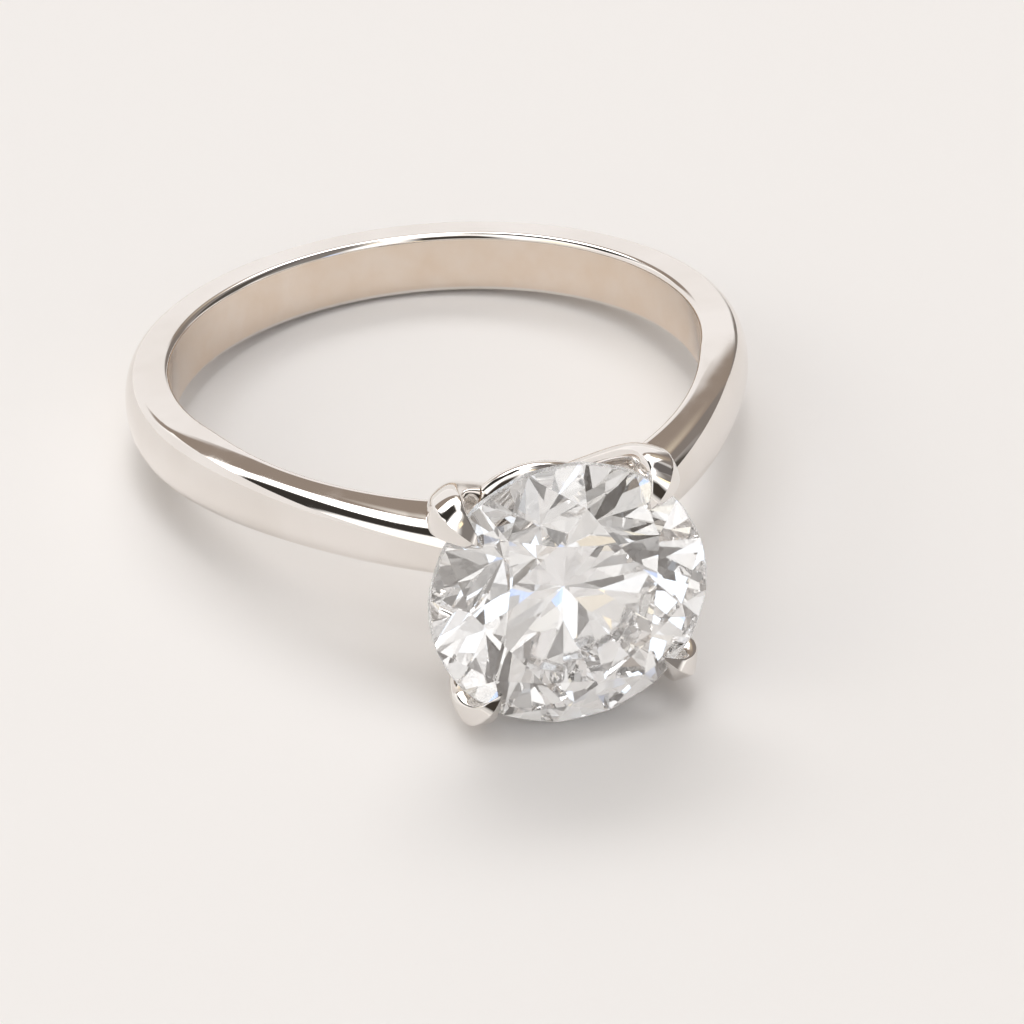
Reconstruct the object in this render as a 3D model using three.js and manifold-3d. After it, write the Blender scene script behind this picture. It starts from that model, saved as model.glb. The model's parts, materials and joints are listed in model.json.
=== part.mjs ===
// A solitaire engagement ring lying on its side: a polished shank whose shoulders sweep up and narrow
// towards the head, a claw head built of a base ring, a gallery rail and four talon claws, and a round
// brilliant. Millimetres. The ring is shaped upright round the middle of its finger hole, whose axis is
// +Z, with the stone towards -Y and +X to the right, and is then leant over as it lies on a table.
import * as THREE from 'three';
import { mergeVertices } from 'three/addons/utils/BufferGeometryUtils.js';
import Module from 'manifold-3d';

const degrees = THREE.MathUtils.degToRad;
const { lerp, clamp } = THREE.MathUtils;

// Heights are measured from the middle of the finger hole towards the stone.
const FINGER_RADIUS = 8.25;
const SOLDER_GAP = 0.03;

// The head is soldered on a touch out of square with the shank.
const HEAD_TURN = degrees(2.5);

const SHANK = {
  thickness: 1.45,
  halfWidth: 1.03,
  edgeRound: 0.22,
  dome: 0.46,
  sides: 20,
  steps: 112,
};

// The shoulders leave the finger circle at `start` and are measured along `span`, both in turn
// from the stone; the bore side and the outer side each rise by a power of the way along it.
const SHOULDER = {
  start: degrees(68),
  span: degrees(50),
  end: degrees(6),
  boreLift: 1.7,
  borePower: 1.42,
  outerLift: 2.2,
  outerPower: 2.2,
  boreHalfWidth: 0.9,
  narrowPower: 1.5,
};

// A facet on each side of a shoulder starts as a point at `start`, has swept in to a narrow strip
// beside the bore by `swept`, and has taken the domed outside down to `ridgeHalfWidth` at `end`.
// It falls away from the flank by `brow` of its depth in a straight line, and the rest by a power
// that grows from `hollowed` on, so that the facet turns over later towards the head.
const FACET = {
  start: degrees(77),
  swept: degrees(50),
  end: degrees(18),
  ridgeHalfWidth: 0.45,
  ridgePower: 1.4,
  strip: 0.06,
  sweepPower: 1.5,
  brow: 0.27,
  browPower: 3.2,
  hollowed: 0.45,
  headPower: 5.4,
};

const STONE = {
  radius: 4.05,
  height: 15.3,
  girdle: 0.26,
  girdleSides: 96,
  tableRatio: 0.57,
  starRatio: 0.5,
  lowerHalfRatio: 0.77,
  crownAngle: degrees(34.5),
  pavilionAngle: degrees(40.8),
  turn: degrees(11),
  clearance: 0.03,
};

const RAIL = {
  height: 12.05,
  outerRadius: 2.6,
  wireRadius: 0.38,
  sides: 10,
  segments: 44,
};

const BASE = {
  bottom: 9.95,
  top: 10.75,
  outerRadius: 1.4,
  innerRadius: 0.75,
  bevel: 0.12,
  segments: 32,
};

// A claw's middle line, as distance from the stone's axis and height, and its half sizes
// across that line: thick is in the plane of the axis, wide is round the stone.
const CLAW = {
  line: [
    [1.15, 10.6], [1.8, 11], [2.5, 11.75], [3.65, 13.15], [4.25, 14.2],
    [4.42, 15.1], [4.25, 15.68], [3.88, 15.97], [3.42, 15.95],
  ],
  footThick: 0.4,
  footWide: 0.42,
  headThick: 0.47,
  headWide: 0.68,
  tip: 0.05,
  taperStart: 0.76,
  taperPower: 1.4,
  sides: 12,
  steps: 30,
};

const wasm = await Module();
wasm.setup();

// A closed three.js geometry as a solid that can be joined and cut.
function solid(geometry) {
  const bare = geometry.clone();
  bare.deleteAttribute('normal');
  bare.deleteAttribute('uv');
  const merged = mergeVertices(bare, 1e-5);
  return new wasm.Manifold(new wasm.Mesh({
    numProp: 3,
    vertProperties: new Float32Array(merged.attributes.position.array),
    triVerts: new Uint32Array(merged.index.array),
  }));
}

function geometryOf(body) {
  const mesh = body.getMesh();
  const geometry = new THREE.BufferGeometry();
  geometry.setAttribute('position', new THREE.BufferAttribute(mesh.vertProperties, 3));
  geometry.setIndex(new THREE.BufferAttribute(mesh.triVerts, 1));
  geometry.computeVertexNormals();
  return geometry;
}

// A closed bar of many sides. place(turn, along) says where the side at that turn (-PI to PI)
// lies, with along running from 0 at one end to 1 at the other.
function bar(sides, steps, place) {
  const outline = [];
  for (let side = 0; side < sides; side += 1) {
    const turn = (2 * Math.PI * side) / sides;
    outline.push(new THREE.Vector2(Math.cos(turn), Math.sin(turn)));
  }
  const shape = new THREE.Shape(outline);
  const geometry = new THREE.ExtrudeGeometry(shape, { depth: 1, steps, bevelEnabled: false });
  const position = geometry.attributes.position;
  for (let i = 0; i < position.count; i += 1) {
    const turn = Math.atan2(position.getY(i), position.getX(i));
    const point = place(turn, position.getZ(i));
    position.setXYZ(i, point.x, point.y, point.z);
  }
  return geometry;
}

// Head pieces are made upright, with the stone's axis along +Z, and then turned to face -Y.
function faceStone(geometry) {
  return geometry.rotateX(Math.PI / 2);
}

function lathe(profile, segments) {
  const points = profile.map(([radius, height]) => new THREE.Vector2(radius, height));
  return new THREE.LatheGeometry(points, segments).rotateX(Math.PI / 2);
}

// The band's half section at one angle from the stone: from the middle of its domed outside, over
// the crease, the facet, the flank and the round edge, to the middle of the bore. step runs 0 to 1.
function shankSection(step, angle) {
  const rise = Math.max(0, (SHOULDER.start - angle) / SHOULDER.span);
  const inner = FINGER_RADIUS + SHOULDER.boreLift * rise ** SHOULDER.borePower;
  const outer = FINGER_RADIUS + SHANK.thickness + SHOULDER.outerLift * rise ** SHOULDER.outerPower;
  const narrowing = Math.min(1, rise ** SHOULDER.narrowPower);
  const half = lerp(SHANK.halfWidth, SHOULDER.boreHalfWidth, narrowing);
  const faceted = Math.max(0, (FACET.start - angle) / (FACET.start - FACET.end));
  const ridge = Math.min(half, lerp(SHANK.halfWidth, FACET.ridgeHalfWidth, faceted ** FACET.ridgePower));
  const crease = Math.asin(ridge / half);
  const top = outer - SHANK.dome * (1 - Math.cos(crease));
  const foot = inner + SHANK.edgeRound;
  const sweep = clamp((angle - FACET.swept) / (FACET.start - FACET.swept), 0, 1) ** FACET.sweepPower;
  const brow = lerp(Math.min(foot + FACET.strip, top), top, sweep);
  if (step <= 0.3) {
    const turn = (crease * step) / 0.3;
    return [outer - SHANK.dome * (1 - Math.cos(turn)), half * Math.sin(turn)];
  }
  if (step <= 0.6) {
    const out = (0.6 - step) / 0.3;
    const late = clamp((faceted - FACET.hollowed) / (1 - FACET.hollowed), 0, 1);
    const power = lerp(FACET.browPower, FACET.headPower, late);
    const fall = lerp(out ** power, out, FACET.brow);
    return [lerp(brow, top, out), lerp(half, ridge, fall)];
  }
  if (step <= 0.7) {
    return [lerp(brow, foot, (step - 0.6) / 0.1), half];
  }
  if (step <= 0.9) {
    const turn = ((step - 0.7) / 0.2) * (Math.PI / 2);
    return [
      inner + SHANK.edgeRound * (1 - Math.sin(turn)),
      half - SHANK.edgeRound * (1 - Math.cos(turn)),
    ];
  }
  return [inner, (half - SHANK.edgeRound) * (1 - step) * 10];
}

function shankBar() {
  return bar(SHANK.sides, SHANK.steps, (turn, along) => {
    const angle = lerp(SHOULDER.end, 2 * Math.PI - SHOULDER.end, along);
    const fromStone = Math.min(angle, 2 * Math.PI - angle);
    const [radius, width] = shankSection(Math.abs(turn) / Math.PI, fromStone);
    const x = radius * Math.sin(angle);
    const y = -radius * Math.cos(angle);
    return new THREE.Vector3(x, y, -Math.sign(turn) * width);
  });
}

// A claw laid along its middle line, in the plane of the stone's axis, thicker by `extra` all over.
function clawBar(extra) {
  const line = new THREE.SplineCurve(CLAW.line.map(([radius, height]) => new THREE.Vector2(radius, height)));
  return bar(CLAW.sides, CLAW.steps, (turn, along) => {
    const middle = line.getPointAt(along);
    const ahead = line.getTangentAt(along);
    const grown = Math.min(1, along / CLAW.taperStart);
    const tapered = clamp((along - CLAW.taperStart) / (1 - CLAW.taperStart), 0, 1) ** CLAW.taperPower;
    const thick = lerp(lerp(CLAW.footThick, CLAW.headThick, grown), CLAW.tip, tapered) + extra;
    const wide = lerp(lerp(CLAW.footWide, CLAW.headWide, grown), CLAW.tip, tapered) + extra;
    const outward = thick * Math.cos(turn);
    const radius = middle.x + ahead.y * outward;
    const height = middle.y - ahead.x * outward;
    return new THREE.Vector3(radius, wide * Math.sin(turn), height);
  });
}

function clawAngles() {
  return [45, 135, 225, 315].map((angle) => degrees(angle) + HEAD_TURN);
}

function clawCutter() {
  const claws = clawAngles().map((angle) => solid(clawBar(SOLDER_GAP).rotateZ(angle)));
  return claws.reduce((all, claw) => all.add(claw));
}

// The half space beyond a facet, as a large box whose face lies on the facet's plane. Facets are
// named by their azimuth, their slope from the girdle plane (negative below it) and a point on them.
function beyondFacet(azimuth, slope, reach, height) {
  const size = 4 * STONE.radius;
  const up = Math.sign(slope);
  const normal = new THREE.Vector3(Math.abs(Math.sin(slope)), 0, up * Math.cos(slope));
  const offset = normal.x * reach + normal.z * height;
  const box = new THREE.BoxGeometry(size, size, size);
  box.translate(0, 0, size / 2 + offset);
  box.applyQuaternion(new THREE.Quaternion().setFromUnitVectors(new THREE.Vector3(0, 0, 1), normal));
  return box.rotateZ(azimuth);
}

// A round brilliant round its own girdle: 8 mains, 8 stars and 16 upper halves above a table cut,
// 8 mains and 16 lower halves below. Slopes that aren't driving values follow from facets that meet.
function brilliant() {
  const half = STONE.girdle / 2;
  const eighth = degrees(45);
  const table = STONE.radius * STONE.tableRatio;
  const tableHeight = half + (STONE.radius - table) * Math.tan(STONE.crownAngle);
  const tableMiddle = table * Math.cos(eighth / 2);
  const starReach = lerp(tableMiddle, STONE.radius, STONE.starRatio);
  const starHeight = half + (STONE.radius - starReach * Math.cos(eighth / 2)) * Math.tan(STONE.crownAngle);
  const starSlope = Math.atan2(tableHeight - starHeight, starReach - tableMiddle);
  const tipReach = STONE.radius * Math.cos(eighth / 4);
  const upperSlope = Math.atan2(starHeight - half, tipReach - starReach * Math.cos(eighth / 4));
  const lowerReach = STONE.radius * (1 - STONE.lowerHalfRatio);
  const lowerDepth = (STONE.radius - lowerReach * Math.cos(eighth / 2)) * Math.tan(STONE.pavilionAngle);
  const lowerSlope = Math.atan2(lowerDepth, tipReach - lowerReach * Math.cos(eighth / 4));
  const depth = half + STONE.radius * Math.tan(STONE.pavilionAngle);
  const { radius, girdleSides } = STONE;
  const rough = new THREE.CylinderGeometry(radius, radius, tableHeight + depth, girdleSides);
  let stone = solid(rough.rotateX(Math.PI / 2).translate(0, 0, (tableHeight - depth) / 2));
  const grind = (...facet) => {
    stone = stone.subtract(solid(beyondFacet(...facet)));
  };
  for (let i = 0; i < 8; i += 1) {
    const main = i * eighth;
    grind(main, STONE.crownAngle, STONE.radius, half);
    grind(main, -STONE.pavilionAngle, STONE.radius, -half);
    grind(main + eighth / 2, starSlope, tableMiddle, tableHeight);
    for (const side of [-1, 1]) {
      grind(main + (side * eighth) / 4, upperSlope, tipReach, half);
      grind(main + (side * eighth) / 4, -lowerSlope, tipReach, -half);
    }
  }
  return geometryOf(stone).rotateZ(STONE.turn + HEAD_TURN);
}

function stoneGeometry(extra) {
  const grow = 1 + extra / STONE.radius;
  return brilliant().scale(grow, grow, grow).translate(0, 0, STONE.height);
}

// One claw, with its seat cut to the stone.
function clawGeometry(angle, stoneCutter) {
  return geometryOf(solid(clawBar(0).rotateZ(angle)).subtract(stoneCutter));
}

function railGeometry() {
  const middle = RAIL.outerRadius - RAIL.wireRadius;
  const wire = new THREE.TorusGeometry(middle, RAIL.wireRadius, RAIL.sides, RAIL.segments);
  return wire.translate(0, 0, RAIL.height);
}

function baseGeometry() {
  const { bottom, top, outerRadius, innerRadius, bevel } = BASE;
  return lathe([
    [innerRadius + bevel, bottom], [outerRadius - bevel, bottom], [outerRadius, bottom + bevel],
    [outerRadius, top - bevel], [outerRadius - bevel, top], [innerRadius + bevel, top],
    [innerRadius, top - bevel], [innerRadius, bottom + bevel], [innerRadius + bevel, bottom],
  ], BASE.segments);
}

// The room that the base ring and the rail take out of the shoulders' ends.
function headRoom() {
  const base = BASE.outerRadius + SOLDER_GAP;
  const rail = RAIL.outerRadius + SOLDER_GAP;
  const railBottom = RAIL.height - RAIL.wireRadius;
  return lathe([
    [0, FINGER_RADIUS], [base, FINGER_RADIUS], [base, BASE.top],
    [rail, railBottom], [rail, STONE.height], [0, STONE.height],
  ], RAIL.segments);
}

// A piece of the head with the claws' seats cut out of it.
function notched(geometry, claws) {
  return faceStone(geometryOf(solid(geometry).subtract(claws)));
}

function shankGeometry(claws) {
  const room = solid(faceStone(headRoom()));
  const clawRoom = solid(faceStone(geometryOf(claws)));
  return geometryOf(solid(shankBar()).subtract(room).subtract(clawRoom));
}

function metal(color, roughness) {
  return new THREE.MeshStandardMaterial({ color, roughness, metalness: 1 });
}

function piece(name, geometry, material) {
  const mesh = new THREE.Mesh(geometry, material);
  mesh.name = name;
  return mesh;
}

const polished = metal(0xd8d5d1, 0.08);
const recessed = metal(0xcfccc8, 0.1);
const clawMetal = metal(0xdcd9d5, 0.06);
const diamond = new THREE.MeshStandardMaterial({ color: 0xf4f6f8, roughness: 0.02, metalness: 0 });
const clawNames = ['claw_upper_right', 'claw_upper_left', 'claw_lower_left', 'claw_lower_right'];

const claws = clawCutter();
const stoneCutter = solid(stoneGeometry(STONE.clearance));
const ring = new THREE.Group();
ring.add(piece('shank', shankGeometry(claws), polished));
ring.add(piece('base_ring', notched(baseGeometry(), claws), recessed));
ring.add(piece('gallery_rail', notched(railGeometry(), claws), polished));
clawAngles().forEach((angle, i) => {
  ring.add(piece(clawNames[i], faceStone(clawGeometry(angle, stoneCutter)), clawMetal));
});
ring.add(piece('diamond', faceStone(stoneGeometry(0)), diamond));

// Lying down, the ring leans on the stone's edge in front and on the band's flank at the back.
const flankEdge = FINGER_RADIUS + SHANK.thickness - SHANK.dome;
const stoneEdge = STONE.height - STONE.girdle / 2;
ring.rotation.x = -Math.atan2(STONE.radius - SHANK.halfWidth, stoneEdge + flankEdge);

const box = new THREE.Box3().setFromObject(ring, true);
const middle = box.getCenter(new THREE.Vector3());
ring.position.set(-middle.x, -middle.y, -box.min.z);

export default ring;
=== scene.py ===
"""The looks of a solitaire engagement ring, built round its CAD frame.

Sizes are in millimetres while a piece is being shaped. The pieces are shaped upright round the middle
of the finger hole, whose axis is Z, with the stone towards -Y, as the CAD shapes them. One matrix then
leans them over, scales them to metres and puts them in the frame's place.
"""
import json
import math

import bmesh
import bpy
from mathutils import Matrix, Vector


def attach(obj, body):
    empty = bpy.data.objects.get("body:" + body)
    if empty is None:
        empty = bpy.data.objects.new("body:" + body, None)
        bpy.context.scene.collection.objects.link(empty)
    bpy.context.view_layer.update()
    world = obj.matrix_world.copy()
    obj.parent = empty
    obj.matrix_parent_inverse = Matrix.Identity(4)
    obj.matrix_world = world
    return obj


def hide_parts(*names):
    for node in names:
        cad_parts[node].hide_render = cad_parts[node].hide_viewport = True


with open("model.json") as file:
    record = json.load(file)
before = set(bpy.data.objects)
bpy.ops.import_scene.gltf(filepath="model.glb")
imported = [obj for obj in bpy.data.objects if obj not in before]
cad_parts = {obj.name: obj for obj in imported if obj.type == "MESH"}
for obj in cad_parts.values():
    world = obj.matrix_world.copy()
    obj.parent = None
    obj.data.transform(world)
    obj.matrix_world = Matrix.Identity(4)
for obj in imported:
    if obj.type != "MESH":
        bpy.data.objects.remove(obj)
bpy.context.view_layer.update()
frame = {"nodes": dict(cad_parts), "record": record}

MM = 0.001

# Camera, in millimetres and degrees: it looks at a point on the table, given from the middle of the
# part's base.
CAMERA_TARGET = (0.986, -1.456, 0.0)
CAMERA_DISTANCE = 137.47
CAMERA_AZIMUTH = -13.92
CAMERA_ELEVATION = 34.33
CAMERA_ROLL = -2.41
CAMERA_LENS = 158.2

# The same driving sizes as the CAD part, in millimetres, with angles measured from the stone. Heights
# run from the middle of the finger hole towards the stone.
FINGER_RADIUS = 8.25
FLANK_MIDDLE_RADIUS = 8.72
SOLDER_GAP = 0.03
HEAD_TURN = math.radians(2.5)
BAND_THICKNESS = 1.45
BAND_HALF_WIDTH = 1.03
BAND_EDGE_ROUND = 0.22
BAND_DOME = 0.46
SHOULDER_START = math.radians(68)
SHOULDER_SPAN = math.radians(50)
SHOULDER_END = math.radians(6)
BORE_LIFT, BORE_POWER = 1.7, 1.42
OUTER_LIFT, OUTER_POWER = 2.2, 2.2
SHOULDER_HALF_WIDTH = 0.9
NARROW_POWER = 1.5

# A facet on each side of a shoulder starts as a point at FACET_START, has swept in to a narrow strip
# beside the bore by FACET_SWEPT, and has taken the dome down to RIDGE_HALF_WIDTH at FACET_END. It falls
# away from the flank by BROW of its depth in a straight line, and the rest by a power that grows from
# HOLLOWED on, so that the facet turns over later towards the head.
FACET_START, FACET_SWEPT, FACET_END = (math.radians(a) for a in (77, 50, 18))
RIDGE_HALF_WIDTH, RIDGE_POWER = 0.45, 1.4
FACET_STRIP = 0.06
SWEEP_POWER = 1.5
BROW, BROW_POWER = 0.27, 3.2
HOLLOWED, HEAD_POWER = 0.45, 5.4

STONE_RADIUS = 4.05
STONE_HEIGHT = 15.3
STONE_TABLE_HEIGHT = 16.627
STONE_CLEARANCE = 0.03
RAIL_HEIGHT, RAIL_OUTER, RAIL_WIRE = 12.05, 2.6, 0.38
BASE_BOTTOM, BASE_TOP, BASE_OUTER, BASE_INNER, BASE_BEVEL = 9.95, 10.75, 1.4, 0.75, 0.12

# The claws' middle line, as (distance from the stone's axis, height). A claw is given by its half
# thickness and half width at the foot and at the head.
CLAW_LINE = (
    (1.15, 10.6), (1.8, 11), (2.5, 11.75), (3.65, 13.15), (4.25, 14.2),
    (4.42, 15.1), (4.25, 15.68), (3.88, 15.97), (3.42, 15.95),
)
CLAW_FOOT = (0.4, 0.42)
CLAW_HEAD = (0.47, 0.68)
CLAW_TIP = 0.05
CLAW_TAPER_START, CLAW_TAPER_POWER = 0.76, 1.4

# The ridge along a claw's outer side: how sharp it is, and where along the claw it starts and how
# soon it is whole.
CLAW_KEEL = 0.85
CLAW_KEEL_START, CLAW_KEEL_RISE = 0.58, 0.3
CLAW_ANGLES = (45, 135, 225, 315)
CLAW_NAMES = ("claw_upper_right", "claw_upper_left", "claw_lower_left", "claw_lower_right")


def mix(a, b, share):
    return a + (b - a) * share


def clamp(share):
    return min(1.0, max(0.0, share))


# ---------------------------------------------------------------- camera
def make_camera():
    a, e, r = (math.radians(v) for v in (CAMERA_AZIMUTH, CAMERA_ELEVATION, CAMERA_ROLL))
    back = Vector((math.sin(a) * math.cos(e), -math.cos(a) * math.cos(e), math.sin(e)))
    data = bpy.data.cameras.new("camera")
    data.lens = CAMERA_LENS
    data.sensor_width = 36
    data.clip_start = 0.005
    data.clip_end = 20
    camera = bpy.data.objects.new("camera", data)
    bpy.context.scene.collection.objects.link(camera)
    camera.location = (Vector(CAMERA_TARGET) + back * CAMERA_DISTANCE) * MM
    turn = (-back).to_track_quat("-Z", "Y").to_matrix() @ Matrix.Rotation(r, 3, "Z")
    camera.rotation_euler = turn.to_euler()
    bpy.context.scene.camera = camera


make_camera()


# ---------------------------------------------------------------- placing
def mount(name):
    """A mount's place, in metres, and its outward direction."""
    found = next(m for m in frame["record"]["mounts"] if m["name"] == name)
    return Vector(found["pos_m"]), Vector(found["axis"]).normalized()


def lie_matrix():
    """From the upright ring in millimetres to the frame in metres, read from the frame's mounts."""
    lower, _ = mount("band_side_lower")
    upper, hole_axis = mount("band_side_upper")
    _, front = mount("stone_table")
    rear = -front
    hole = (lower + upper) / 2 - rear * FLANK_MIDDLE_RADIUS * MM
    turn = Matrix((rear.cross(hole_axis), rear, hole_axis)).transposed().to_4x4()
    return Matrix.Translation(hole) @ turn @ Matrix.Scale(MM, 4)


LIE = lie_matrix()


def face_stone(point):
    """A point of the head, made upright with the stone's axis along +Z, turned so the stone faces -Y."""
    x, y, z = point
    return (x, -z, y)


# ---------------------------------------------------------------- mesh helpers
def new_piece(name, vertices, faces, uvs):
    """A mesh object in the upright ring's place. uvs holds one pair per vertex of each face."""
    mesh = bpy.data.meshes.new(name)
    mesh.from_pydata([tuple(v) for v in vertices], [], faces)
    layer = mesh.uv_layers.new(name="length_and_girth")
    layer.data.foreach_set("uv", [c for face in uvs for pair in face for c in pair])
    mesh.update()
    piece = bpy.data.objects.new(name, mesh)
    bpy.context.scene.collection.objects.link(piece)
    return piece


def bar(name, sides, steps, place, closed=False):
    """A bar of many sides. place(turn, along) gives each point, turn from 0 to 2 pi, along 0 to 1.

    Its UV map holds the length along it in millimetres, and the share of the way round it."""
    rows = steps if closed else steps + 1
    points = []
    for row in range(rows):
        for side in range(sides):
            points.append(Vector(place(2 * math.pi * side / sides, row / steps)))
    length = [0.0]
    for row in range(steps):
        ahead = ((row + 1) % rows) * sides
        length.append(length[-1] + (points[ahead] - points[row * sides]).length)
    faces, uvs = [], []
    for row in range(steps):
        ahead = (row + 1) % rows
        for side in range(sides):
            beside = (side + 1) % sides
            faces.append((row * sides + side, row * sides + beside,
                          ahead * sides + beside, ahead * sides + side))
            near, far = side / sides, (side + 1) / sides
            uvs.append(((length[row], near), (length[row], far),
                        (length[row + 1], far), (length[row + 1], near)))
    if not closed:
        first = tuple(range(sides - 1, -1, -1))
        last = tuple(range(steps * sides, rows * sides))
        for cap in (first, last):
            faces.append(cap)
            uvs.append(tuple((length[0], i % sides / sides) for i in cap))
    return new_piece(name, points, faces, uvs)


def face_outwards(piece):
    built = bmesh.new()
    built.from_mesh(piece.data)
    bmesh.ops.recalc_face_normals(built, faces=built.faces)
    built.to_mesh(piece.data)
    built.free()


def cut(piece, *cutters):
    """Cuts the cutters out of the piece and deletes them."""
    for cutter in cutters:
        boolean = piece.modifiers.new("cut", "BOOLEAN")
        boolean.operation = "DIFFERENCE"
        boolean.solver = "EXACT"
        boolean.object = cutter
        with bpy.context.temp_override(object=piece, active_object=piece):
            bpy.ops.object.modifier_apply(modifier=boolean.name)
        bpy.data.objects.remove(cutter)


# Edges sharper than this many degrees stay crisp.
BAND_CREASE, CLAW_CREASE, HEAD_CREASE = 9, 28, 30


def settle(piece, node, material, crease):
    """Puts a finished piece in the frame's place, smooth but for edges sharper than crease degrees."""
    piece.data.materials.clear()
    piece.data.materials.append(material)
    piece.data.transform(LIE)
    piece.data.shade_smooth()
    piece.data.set_sharp_from_angle(angle=math.radians(crease))
    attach(piece, "root")
    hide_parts(node)


# ---------------------------------------------------------------- node helpers
class Tree:
    """A short way to write a material's nodes."""

    def __init__(self, name):
        self.material = bpy.data.materials.new(name)
        self.material.use_nodes = True
        self.nodes = self.material.node_tree.nodes
        self.links = self.material.node_tree.links
        self.shader = self.nodes["Principled BSDF"]

    @classmethod
    def over(cls, node_tree):
        tree = cls.__new__(cls)
        tree.nodes = node_tree.nodes
        tree.links = node_tree.links
        return tree

    def add(self, kind, settings=None, **inputs):
        node = self.nodes.new("ShaderNode" + kind)
        for key, value in (settings or {}).items():
            setattr(node, key, value)
        for key, value in inputs.items():
            self.put(node.inputs[key.replace("_", " ")], value)
        return node

    def put(self, socket, value):
        if isinstance(value, bpy.types.NodeSocket):
            self.links.new(value, socket)
        elif isinstance(value, bpy.types.Node):
            self.links.new(value.outputs[0], socket)
        else:
            socket.default_value = value

    def maths(self, operation, *values):
        node = self.add("Math", {"operation": operation})
        for socket, value in zip(node.inputs, values):
            self.put(socket, value)
        return node.outputs[0]

    def spread(self, value, low, high, to_low, to_high):
        node = self.add("MapRange")
        for key, number in zip((0, 1, 2, 3, 4), (value, low, high, to_low, to_high)):
            self.put(node.inputs[key], number)
        return node.outputs[0]

    def noise(self, vector, scale, detail, roughness):
        node = self.add("TexNoise", Vector=vector, Scale=scale, Detail=detail, Roughness=roughness)
        return node.outputs["Fac"]

    def shift(self, vector, scale):
        node = self.add("Mapping")
        self.put(node.inputs["Vector"], vector)
        node.inputs["Scale"].default_value = scale
        return node.outputs[0]

    def blend(self, share, a, b):
        node = self.add("Mix", {"data_type": "RGBA"})
        self.put(node.inputs["Factor"], share)
        self.put(node.inputs["A"], a)
        self.put(node.inputs["B"], b)
        return node.outputs["Result"]


# Noise scales, in patches per metre for colour and haze, and per unit of the bar's own map for the
# lines left by polishing, which run along the bar.
TONE_SCALE = 260.0
HAZE_SCALE = 900.0
LINE_SCALE = (0.9, 220.0, 1.0)
# The bore's warm colour is a painted reflection of the warm surroundings, not the metal's own; the
# bore's added roughness is wear.
BORE_PAINTED_REFLECTION = (0.73, 0.58, 0.445, 1)
BORE_WEAR = 0.12
RELIEF = 2.0e-6


def polished_metal(name, bright, dull, roughness, haze, lines, inside=(0.0, 0.0)):
    """Polished white metal: slow colour change, hazy handled patches and fine lines along the piece.

    inside holds the shares of the way round, to either side of the middle, where a duller bore, with a
    painted warm reflection in its colour, starts to fade and where it has gone. haze and lines are the
    roughness that patches and lines add."""
    tree = Tree(name)
    place = tree.add("TexCoord").outputs["Object"]
    run = tree.add("UVMap", {"uv_map": "length_and_girth"}).outputs["UV"]
    slow = tree.noise(place, TONE_SCALE, 3.0, 0.5)
    patches = tree.noise(place, HAZE_SCALE, 5.0, 0.62)
    grain = tree.noise(tree.shift(run, LINE_SCALE), 1.0, 4.0, 0.7)
    hairline = tree.spread(grain, 0.62, 0.72, 0.0, 1.0)
    colour = tree.blend(tree.spread(slow, 0.35, 0.65, 0.0, 1.0), (*dull, 1), (*bright, 1))
    worn = tree.spread(patches, 0.42, 0.75, 0.0, haze)
    if inside[1]:
        round_share = tree.add("SeparateXYZ", Vector=run).outputs["Y"]
        off = tree.maths("ABSOLUTE", tree.maths("SUBTRACT", round_share, 0.5))
        bore = tree.spread(off, inside[0], inside[1], 1.0, 0.0)
        # Painted reflection: in patches, the bore's colour is pulled towards a warm tint that stands in
        # for the warm surroundings it reflects.
        warm = tree.spread(patches, 0.3, 0.7, 0.5, 0.76)
        colour = tree.blend(tree.maths("MULTIPLY", bore, warm), colour, BORE_PAINTED_REFLECTION)
        worn = tree.maths("ADD", worn, tree.maths("MULTIPLY", bore, BORE_WEAR))
    tree.put(tree.shader.inputs["Base Color"], colour)
    scratched = tree.maths("MULTIPLY", hairline, lines)
    rough = tree.maths("ADD", tree.maths("ADD", worn, scratched), roughness)
    tree.put(tree.shader.inputs["Roughness"], rough)
    tree.shader.inputs["Metallic"].default_value = 1.0
    relief = tree.maths("ADD", tree.maths("MULTIPLY", grain, 0.5), tree.maths("MULTIPLY", patches, 0.5))
    bump = tree.add("Bump", Strength=1.0, Distance=lines * RELIEF, Height=relief)
    tree.put(tree.shader.inputs["Normal"], bump.outputs["Normal"])
    return tree.material


DIAMOND_INDEX = 2.417
DIAMOND_COOL = (0.86, 0.868, 0.88, 1)
DIAMOND_WARM = (0.885, 0.878, 0.862, 1)
DIAMOND_HAZE = 0.02
SMEAR_SCALE = 420.0
GRINDING_SCALE = 9000.0

# The ground girdle fades out between these distances from the stone's middle plane, in millimetres.
GIRDLE_GROUND, GIRDLE_POLISHED = 0.08, 0.14


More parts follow.
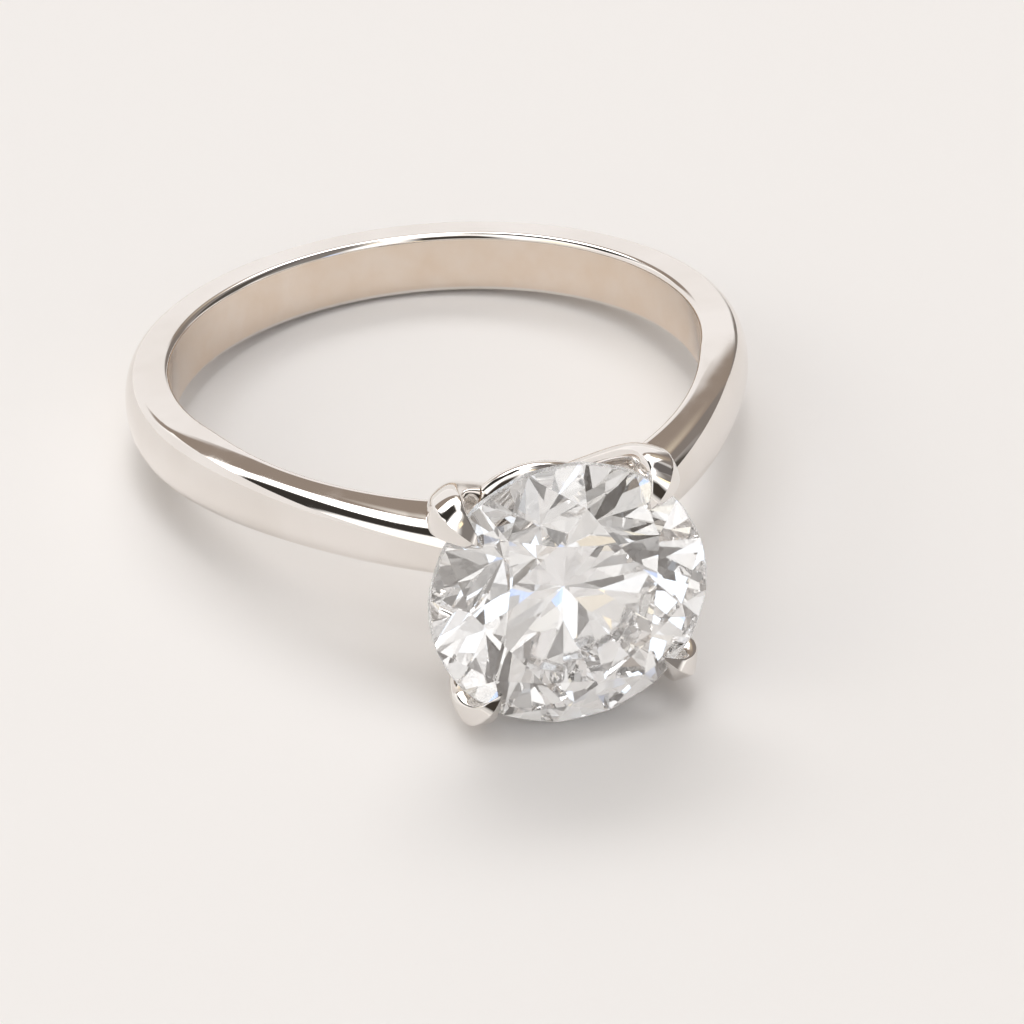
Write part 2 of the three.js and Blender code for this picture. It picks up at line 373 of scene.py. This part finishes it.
def diamond_material():
    """A clear polished diamond with faint finger haze on its facets and a finely ground girdle."""
    tree = Tree("diamond")
    place = tree.add("TexCoord").outputs["Object"]
    smear = tree.noise(place, SMEAR_SCALE, 4.0, 0.6)
    haze = tree.spread(smear, 0.5, 0.8, 0.0, DIAMOND_HAZE)
    tint = tree.spread(smear, 0.35, 0.65, 0.0, 1.0)
    tree.put(tree.shader.inputs["Base Color"], tree.blend(tint, DIAMOND_COOL, DIAMOND_WARM))
    table, axis = mount("stone_table")
    middle = table + axis * (STONE_HEIGHT - STONE_TABLE_HEIGHT) * MM
    off = tree.add("VectorMath", {"operation": "SUBTRACT"})
    tree.put(off.inputs[0], place)
    off.inputs[1].default_value = middle
    along = tree.add("VectorMath", {"operation": "DOT_PRODUCT"})
    tree.put(along.inputs[0], off.outputs[0])
    along.inputs[1].default_value = axis
    edge = tree.maths("ABSOLUTE", along.outputs["Value"])
    ground = tree.noise(place, GRINDING_SCALE, 2.0, 0.5)
    girdle = tree.spread(edge, GIRDLE_GROUND * MM, GIRDLE_POLISHED * MM, 1.0, 0.0)
    frost = tree.maths("MULTIPLY", girdle, tree.spread(ground, 0.3, 0.7, 0.15, 0.45))
    tree.put(tree.shader.inputs["Roughness"], tree.maths("ADD", haze, frost))
    tree.shader.inputs["IOR"].default_value = DIAMOND_INDEX
    tree.shader.inputs["Transmission Weight"].default_value = 1.0
    return tree.material


BAND_METAL = polished_metal("band_metal", bright=(0.855, 0.82, 0.79), dull=(0.79, 0.75, 0.71),
                            roughness=0.035, haze=0.10, lines=0.06, inside=(0.05, 0.07))
HEAD_METAL = polished_metal("head_metal", bright=(0.84, 0.81, 0.78), dull=(0.77, 0.73, 0.69),
                            roughness=0.05, haze=0.12, lines=0.05)
CLAW_METAL = polished_metal("claw_metal", bright=(0.87, 0.84, 0.815), dull=(0.80, 0.77, 0.735),
                            roughness=0.03, haze=0.08, lines=0.05)


# ---------------------------------------------------------------- the band
# Where each stretch of the band's half section ends, as a share of the way round it from the middle of
# the domed outside to the middle of the bore.
DOME_ENDS, FACET_ENDS, FLANK_ENDS, EDGE_ENDS = 0.35, 0.6, 0.7, 0.9
BAND_SIDES = 120
BAND_STEPS = 720


def band_section(step, angle):
    """The band's half section at an angle from the stone, as (distance from the hole's axis, width).

    step runs from 0, the middle of the domed outside, over the crease, the side facet, the flat
    flank and the rounded inner edge, to 1, the middle of the bore."""
    rise = max(0.0, (SHOULDER_START - angle) / SHOULDER_SPAN)
    inner = FINGER_RADIUS + BORE_LIFT * rise**BORE_POWER
    outer = FINGER_RADIUS + BAND_THICKNESS + OUTER_LIFT * rise**OUTER_POWER
    half = mix(BAND_HALF_WIDTH, SHOULDER_HALF_WIDTH, min(1.0, rise**NARROW_POWER))
    faceted = max(0.0, (FACET_START - angle) / (FACET_START - FACET_END))
    ridge = min(half, mix(BAND_HALF_WIDTH, RIDGE_HALF_WIDTH, faceted**RIDGE_POWER))
    crease = math.asin(ridge / half)
    top = outer - BAND_DOME * (1 - math.cos(crease))
    foot = inner + BAND_EDGE_ROUND
    sweep = clamp((angle - FACET_SWEPT) / (FACET_START - FACET_SWEPT))**SWEEP_POWER
    brow = mix(min(foot + FACET_STRIP, top), top, sweep)
    if step <= DOME_ENDS:
        turn = crease * step / DOME_ENDS
        return outer - BAND_DOME * (1 - math.cos(turn)), half * math.sin(turn)
    if step <= FACET_ENDS:
        out = (FACET_ENDS - step) / (FACET_ENDS - DOME_ENDS)
        late = clamp((faceted - HOLLOWED) / (1 - HOLLOWED))
        fall = mix(out**mix(BROW_POWER, HEAD_POWER, late), out, BROW)
        return mix(brow, top, out), mix(half, ridge, fall)
    if step <= FLANK_ENDS:
        return mix(brow, foot, (step - FACET_ENDS) / (FLANK_ENDS - FACET_ENDS)), half
    if step <= EDGE_ENDS:
        turn = (step - FLANK_ENDS) / (EDGE_ENDS - FLANK_ENDS) * math.pi / 2
        return (inner + BAND_EDGE_ROUND * (1 - math.sin(turn)),
                half - BAND_EDGE_ROUND * (1 - math.cos(turn)))
    return inner, (half - BAND_EDGE_ROUND) * (1 - step) / (1 - EDGE_ENDS)


def band_point(turn, along):
    angle = mix(SHOULDER_END, 2 * math.pi - SHOULDER_END, along)
    turn = turn if turn <= math.pi else turn - 2 * math.pi
    radius, width = band_section(abs(turn) / math.pi, min(angle, 2 * math.pi - angle))
    return radius * math.sin(angle), -radius * math.cos(angle), -math.copysign(width, turn)


# ---------------------------------------------------------------- the claws
CLAW_STEPS = 160
CLAW_SIDES = 64
SPAN_STEPS = 60


def smooth_line(points, samples):
    """A Catmull-Rom line through the points, as (point, direction) pairs at equal lengths."""
    count = len(points)
    dense = []
    for i in range(count - 1):
        p0 = Vector(points[max(0, i - 1)])
        p1 = Vector(points[i])
        p2 = Vector(points[i + 1])
        p3 = Vector(points[min(count - 1, i + 2)])
        for k in range(SPAN_STEPS):
            t = k / SPAN_STEPS
            dense.append(0.5 * ((2 * p1) + (p2 - p0) * t + (2 * p0 - 5 * p1 + 4 * p2 - p3) * t**2
                                + (3 * p1 - p0 - 3 * p2 + p3) * t**3))
    dense.append(Vector(points[-1]))
    lengths = [0.0]
    for a, b in zip(dense, dense[1:]):
        lengths.append(lengths[-1] + (b - a).length)
    line, k = [], 0
    for i in range(samples + 1):
        wanted = lengths[-1] * i / samples
        while k < len(dense) - 2 and lengths[k + 1] < wanted:
            k += 1
        share = (wanted - lengths[k]) / (lengths[k + 1] - lengths[k])
        line.append(dense[k].lerp(dense[k + 1], share))
    ways = []
    for i in range(samples + 1):
        ways.append((line[min(samples, i + 1)] - line[max(0, i - 1)]).normalized())
    return list(zip(line, ways))


CLAW_MIDDLE = smooth_line(CLAW_LINE, CLAW_STEPS)


def claw_bar(name, angle, extra, keel):
    """A claw in the plane at angle round the stone, thicker by extra, with a ridge along its head."""
    def place(turn, along):
        middle, ahead = CLAW_MIDDLE[round(along * CLAW_STEPS)]
        grown = min(1.0, along / CLAW_TAPER_START)
        taper = max(0.0, (along - CLAW_TAPER_START) / (1 - CLAW_TAPER_START)) ** CLAW_TAPER_POWER
        thick = mix(mix(CLAW_FOOT[0], CLAW_HEAD[0], grown), CLAW_TIP, taper) + extra
        wide = mix(mix(CLAW_FOOT[1], CLAW_HEAD[1], grown), CLAW_TIP, taper) + extra
        ridged = keel * clamp((along - CLAW_KEEL_START) / CLAW_KEEL_RISE)
        outward = math.cos(turn)
        if outward > 0:
            outward = mix(outward, 1 - abs(math.sin(turn)), ridged)
        outward *= thick
        radius = middle.x + ahead.y * outward
        height = middle.y - ahead.x * outward
        aside = wide * math.sin(turn)
        x = radius * math.cos(angle) - aside * math.sin(angle)
        y = radius * math.sin(angle) + aside * math.cos(angle)
        return face_stone((x, y, height))
    claw = bar(name, CLAW_SIDES, CLAW_STEPS, place)
    face_outwards(claw)
    return claw


def claw_angles():
    return [math.radians(a) + HEAD_TURN for a in CLAW_ANGLES]


# Corners of the stone closer than this, in millimetres, are one corner.
WELD = 1e-4


def stone_cutter():
    """The stone's own mesh, grown by the clearance round its middle, in the upright ring's place."""
    source = frame["nodes"]["diamond"]
    mesh = source.data.copy()
    mesh.transform(LIE.inverted())
    built = bmesh.new()
    built.from_mesh(mesh)
    bmesh.ops.remove_doubles(built, verts=built.verts, dist=WELD)
    middle = Vector((0, -STONE_HEIGHT, 0))
    for v in built.verts:
        v.co = middle + (v.co - middle) * (1 + STONE_CLEARANCE / STONE_RADIUS)
    built.to_mesh(mesh)
    built.free()
    cutter = bpy.data.objects.new("cutter", mesh)
    bpy.context.scene.collection.objects.link(cutter)
    face_outwards(cutter)
    return cutter


def cutting_claws():
    return [claw_bar("cutter", angle, SOLDER_GAP, 0.0) for angle in claw_angles()]


def make_claws():
    for name, angle in zip(CLAW_NAMES, claw_angles()):
        claw = claw_bar(name + "_polished", angle, 0.0, CLAW_KEEL)
        cut(claw, stone_cutter())
        settle(claw, name, CLAW_METAL, CLAW_CREASE)


# ---------------------------------------------------------------- rail and base ring
RAIL_SIDES, RAIL_STEPS = 40, 200
BASE_SEGMENTS = 128
BEVEL_STEPS = 8
ROOM_SEGMENTS = 96
ROOM_CORE = 0.001


def make_rail():
    middle = RAIL_OUTER - RAIL_WIRE

    def place(turn, along):
        angle = 2 * math.pi * along
        radius = middle + RAIL_WIRE * math.cos(turn)
        height = RAIL_HEIGHT + RAIL_WIRE * math.sin(turn)
        return face_stone((radius * math.cos(angle), radius * math.sin(angle), height))
    rail = bar("gallery_rail_polished", RAIL_SIDES, RAIL_STEPS, place, closed=True)
    face_outwards(rail)
    cut(rail, *cutting_claws())
    settle(rail, "gallery_rail", HEAD_METAL, HEAD_CREASE)


def turned(name, outline, segments):
    """A closed outline of (radius, height) points turned round the stone's axis."""
    count = len(outline)

    def place(turn, along):
        radius, height = outline[round(turn / (2 * math.pi) * count) % count]
        angle = 2 * math.pi * along
        return face_stone((radius * math.cos(angle), radius * math.sin(angle), height))
    return bar(name, count, segments, place, closed=True)


def rounded_box(left, bottom, right, top, radius, steps):
    """A rounded rectangle's outline, anticlockwise."""
    outline = []
    corners = ((right - radius, bottom + radius, -90), (right - radius, top - radius, 0),
               (left + radius, top - radius, 90), (left + radius, bottom + radius, 180))
    for x, y, start in corners:
        for k in range(steps + 1):
            angle = math.radians(start + 90 * k / steps)
            outline.append((x + radius * math.cos(angle), y + radius * math.sin(angle)))
    return outline


def make_base():
    outline = rounded_box(BASE_INNER, BASE_BOTTOM, BASE_OUTER, BASE_TOP, BASE_BEVEL, BEVEL_STEPS)
    base = turned("base_ring_polished", outline, BASE_SEGMENTS)
    face_outwards(base)
    cut(base, *cutting_claws())
    settle(base, "base_ring", HEAD_METAL, HEAD_CREASE)


def head_room():
    """The room that the base ring and the rail take out of the shoulders' ends, but for a thin core."""
    base = BASE_OUTER + SOLDER_GAP
    rail = RAIL_OUTER + SOLDER_GAP
    under_rail = RAIL_HEIGHT - RAIL_WIRE
    outline = [(ROOM_CORE, FINGER_RADIUS), (base, FINGER_RADIUS), (base, BASE_TOP),
               (rail, under_rail), (rail, STONE_HEIGHT), (ROOM_CORE, STONE_HEIGHT)]
    room = turned("cutter", outline, ROOM_SEGMENTS)
    face_outwards(room)
    return room


def make_shank():
    band = bar("shank_polished", BAND_SIDES, BAND_STEPS, band_point)
    face_outwards(band)
    cut(band, head_room(), *cutting_claws())
    settle(band, "shank", BAND_METAL, BAND_CREASE)


# ---------------------------------------------------------------- stage
def plain_material(name, colour, roughness):
    tree = Tree(name)
    tree.shader.inputs["Base Color"].default_value = (*colour, 1)
    tree.shader.inputs["Roughness"].default_value = roughness
    return tree.material


FLOOR_HALF = 3.0
FLOOR_COLOUR = (0.925, 0.90, 0.88)
FLOOR_ROUGHNESS = 0.9


def make_floor():
    corners = [(x * FLOOR_HALF, y * FLOOR_HALF, 0) for x, y in ((-1, -1), (1, -1), (1, 1), (-1, 1))]
    mesh = bpy.data.meshes.new("floor")
    mesh.from_pydata(corners, [], [(0, 1, 2, 3)])
    floor = bpy.data.objects.new("floor", mesh)
    bpy.context.scene.collection.objects.link(floor)
    mesh.materials.append(plain_material("floor", FLOOR_COLOUR, FLOOR_ROUGHNESS))


# The studio, as patches of light and shade laid over an even base, each over those before it: (name,
# azimuth, elevation, half width, half height, softness, colour), in degrees. Azimuth 0 is in front of
# the stone and 90 to the right.
STUDIO_BASE = (1.46, 1.435, 1.41)
STUDIO = (
    ("top light", 0, 90, 200, 8, 2, (5.4, 5.4, 5.4)),
    ("back wall", 180, 12, 75, 14, 5, (1.02, 0.99, 0.975)),
    ("left wall", -105, 12, 40, 18, 6, (0.98, 0.95, 0.93)),
    ("front wall", -10, 12, 75, 12, 6, (0.84, 0.81, 0.78)),
    ("warm wall", -80, 34, 10, 12, 6, (1.36, 1.26, 1.02)),
    ("camera side", -28, 42, 22, 23, 6, (0.06, 0.05, 0.042)),
    ("grey wall", 60, 48, 32, 32, 7, (0.26, 0.24, 0.225)),
    ("cool window", 14, 42, 8, 16, 3, (1.50, 1.68, 1.92)),
    ("right wall", 94, 32, 22, 26, 6, (0.10, 0.09, 0.08)),
    ("shade beside the window", 133, 20, 19, 30, 4, (0.26, 0.23, 0.21)),
    ("high shade", 116, 65, 28, 13, 4, (0.17, 0.155, 0.15)),
    ("ceiling", -145, 67, 28, 12, 2.5, (0.045, 0.04, 0.036)),
    ("curtain", -130, 53, 21, 17, 3, (0.045, 0.04, 0.036)),
    ("shade under the window", 172, 31, 34, 8.5, 1.5, (0.34, 0.28, 0.235)),
    ("window", 174, 48, 32, 8, 2, (4.8, 4.77, 4.75)),
    ("low window", 166, 38, 7, 5, 2, (1.5, 1.45, 1.38)),
    ("glow beside the window", 150, 37, 7, 6, 4, (0.68, 0.59, 0.47)),
    ("blue glint", 30, 22, 4, 3.5, 2, (0.9, 1.15, 1.75)),
    ("amber glint", -8, 14, 3.5, 3.5, 2, (1.8, 1.5, 1.02)),
    ("blue glint", -62, 42, 4, 4, 2, (0.9, 1.15, 1.75)),
    ("amber glint", 34, 72, 5, 4, 2, (1.9, 1.56, 1.02)),
)


# Light turns many times inside the stone before it leaves.
BOUNCES = 40


def make_world():
    world = bpy.data.worlds.new("studio")
    bpy.context.scene.world = world
    world.use_nodes = True
    tree = Tree.over(world.node_tree)
    way = tree.add("SeparateXYZ", Vector=tree.add("TexCoord").outputs["Generated"])
    x, y, z = (way.outputs[k] for k in "XYZ")
    azimuth = tree.maths("ARCTAN2", x, tree.maths("MULTIPLY", y, -1.0))
    elevation = tree.maths("ARCSINE", z)
    colour = (*STUDIO_BASE, 1)
    for name, az, el, half_az, half_el, soft, tint in STUDIO:
        off = tree.maths("SUBTRACT", azimuth, math.radians(az))
        off = tree.maths("ABSOLUTE", tree.maths("WRAP", off, math.pi, -math.pi))
        up = tree.maths("ABSOLUTE", tree.maths("SUBTRACT", elevation, math.radians(el)))
        blur = math.radians(soft)
        inside = tree.spread(off, math.radians(half_az) - blur, math.radians(half_az) + blur, 1.0, 0.0)
        level = tree.spread(up, math.radians(half_el) - blur, math.radians(half_el) + blur, 1.0, 0.0)
        colour = tree.blend(tree.maths("MULTIPLY", inside, level), colour, (*tint, 1))
        colour.node.label = name
    background = world.node_tree.nodes["Background"]
    tree.put(background.inputs["Color"], colour)
    background.inputs["Strength"].default_value = 1.0
    bpy.context.scene.view_settings.view_transform = "Standard"
    bpy.context.scene.cycles.max_bounces = BOUNCES
    bpy.context.scene.cycles.glossy_bounces = BOUNCES
    bpy.context.scene.cycles.transmission_bounces = BOUNCES


def make_stone():
    stone = frame["nodes"]["diamond"]
    stone.data.materials.clear()
    stone.data.materials.append(diamond_material())


make_floor()
make_world()
make_stone()
make_shank()
make_claws()
make_rail()
make_base()
